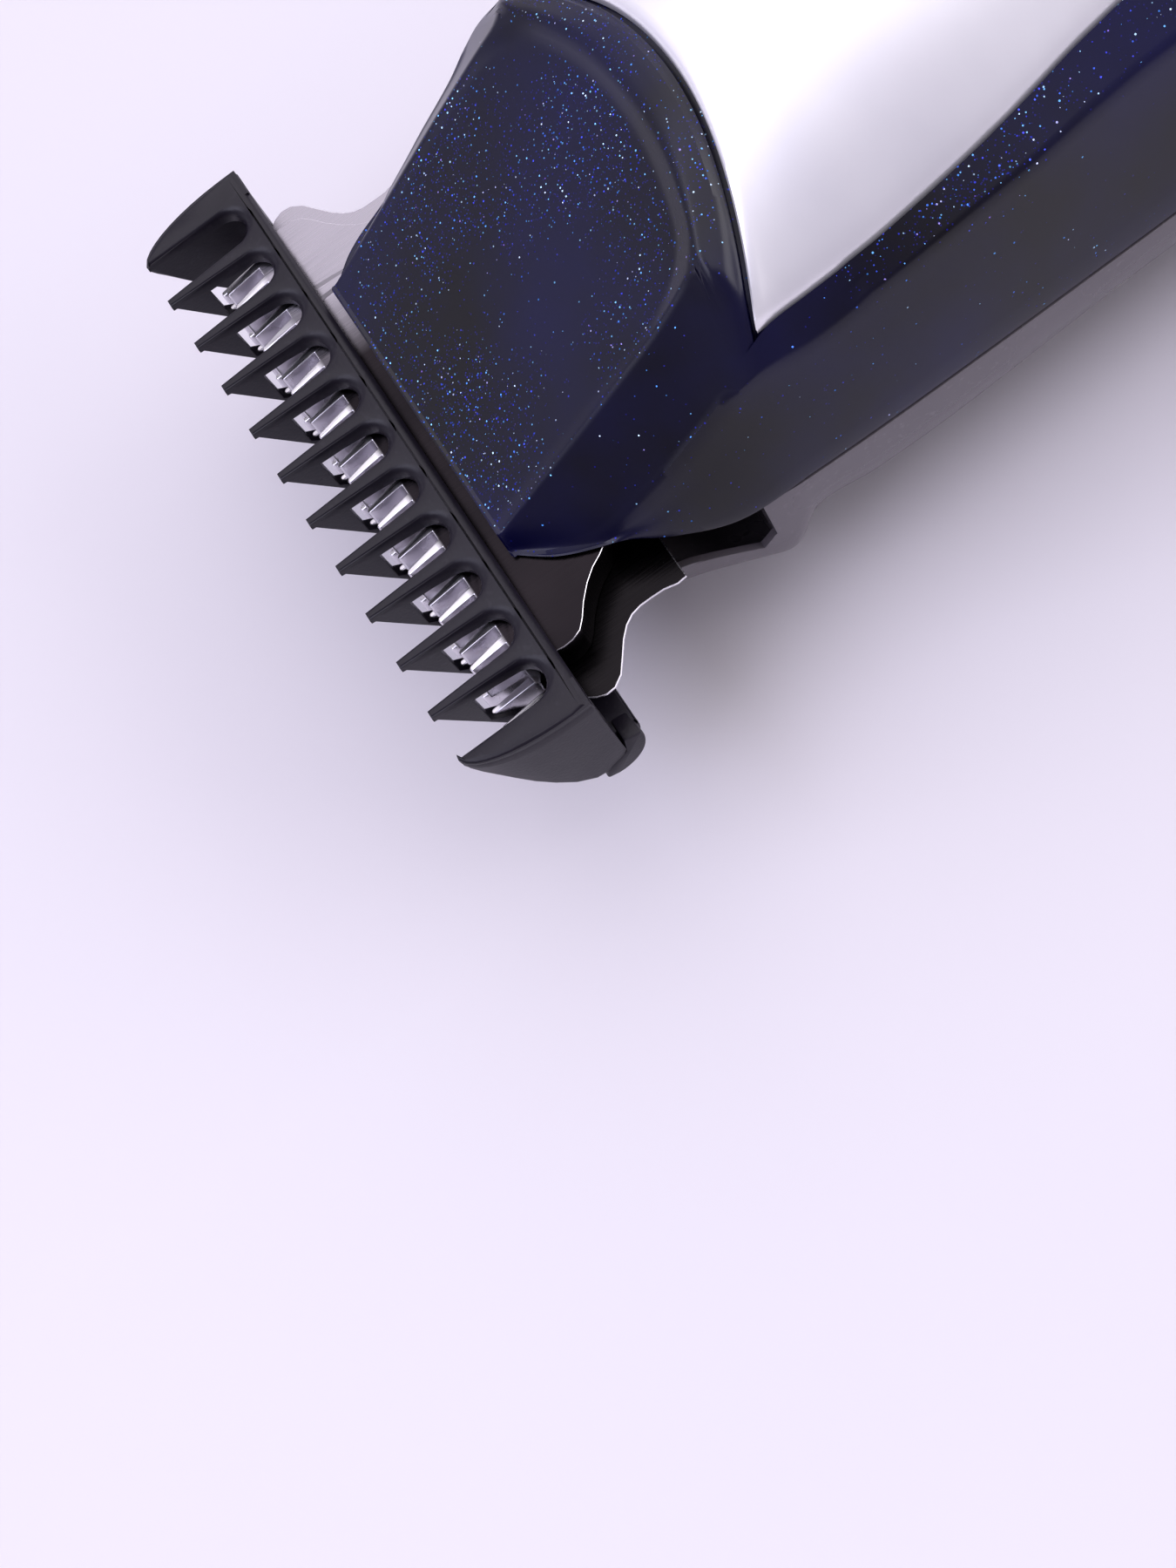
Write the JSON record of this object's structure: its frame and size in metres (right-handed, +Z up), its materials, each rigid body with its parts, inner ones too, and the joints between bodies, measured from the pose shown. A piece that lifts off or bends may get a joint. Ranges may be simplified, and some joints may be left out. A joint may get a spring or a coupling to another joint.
{
  "type": "hair trimmer",
  "caption": "Cordless hair trimmer lying on its back: T-shaped blade head under a push-on guide comb, sloped head panel, metal face panel, press button and charging inlet.",
  "frame": {"origin": "on the rest plane, under the middle of the whole trimmer's bounding box", "axes": "+Y from the cutting end to the tail, +Z up out of the front face, +X across the handle"},
  "size_m": [0.0426, 0.162, 0.0306],
  "materials": {
    "navy_glitter": "gloss with fine metallic fleck",
    "satin_panel": "satin",
    "charcoal_body": "satin",
    "frame_black": "matte",
    "comb_charcoal": "satin",
    "fixed_steel": "brushed",
    "cutter_steel": "ground",
    "white_plastic": "matte",
    "spring_steel": "drawn",
    "screw_steel": "zinc plated",
    "can_steel": "plated",
    "ferrite": "matte",
    "lamination": "lacquered",
    "copper": "bright",
    "shaft_steel": "ground",
    "cam_plastic": "matte",
    "wire_cover": "matte",
    "cell_wrap": "shrink wrapped",
    "nickel": "bright",
    "foam": "open cell",
    "board_green": "lacquered",
    "chip_black": "matte",
    "led_white": "gloss",
    "clear_lens": "clear",
    "button_black": "satin",
    "boot_silicone": "matte",
    "socket_shell": "plated",
    "gasket_rubber": "matte"
  },
  "bodies": {
    "housing": {"front_shell": "navy_glitter", "face_panel": "satin_panel", "rear_shell": "charcoal_body", "inner_frame": "frame_black", "fixed_blade": "fixed_steel", "tension_spring": "spring_steel", "blade_screws": "screw_steel", "motor_can": "can_steel", "motor_magnets": "ferrite", "motor_end_cap": "white_plastic", "motor_leads": "wire_cover", "battery_cell": "cell_wrap", "battery_tabs": "nickel", "battery_foam": "foam", "circuit_board": "board_green", "board_chips": "chip_black", "tact_switch": "chip_black", "charge_leds": "led_white", "indicator_lens": "clear_lens", "button_boot": "boot_silicone", "charge_board": "board_green", "charging_socket": "socket_shell", "socket_gasket": "gasket_rubber", "charge_leads": "wire_cover", "housing_screws": "screw_steel"},
    "comb": {"guide_comb": "comb_charcoal"},
    "cutter": {"moving_blade": "cutter_steel", "drive_yoke": "white_plastic"},
    "rotor": {"motor_shaft": "shaft_steel", "armature": "lamination", "commutator": "copper", "eccentric": "cam_plastic"},
    "button": {"power_button": "button_black", "switch_plunger": "white_plastic"}
  },
  "joints": [
    {"name": "comb_slide", "type": "slide", "parent": "housing", "child": "comb", "axis": [0, -1, 0], "range_m": [0, 0.02]},
    {"name": "rotor_turn", "type": "hinge", "parent": "housing", "child": "rotor", "pos_m": [0, -0.033, 0.0155], "axis": [0, 1, 0], "range_deg": [-90, 90]},
    {"name": "cutter_stroke", "type": "slide", "parent": "housing", "child": "cutter", "axis": [1, 0, 0], "range_m": [-0.00125, 0.00125]},
    {"name": "button_press", "type": "slide", "parent": "housing", "child": "button", "axis": [0, 0, -1], "range_m": [0, 0.0005], "stiffness_N_per_m": 3000, "deforming": ["button_boot"]}
  ],
  "couplings": [
    {"joint": "rotor_turn", "follows": "cutter_stroke", "rad_per_m": 1256.6}
  ]
}
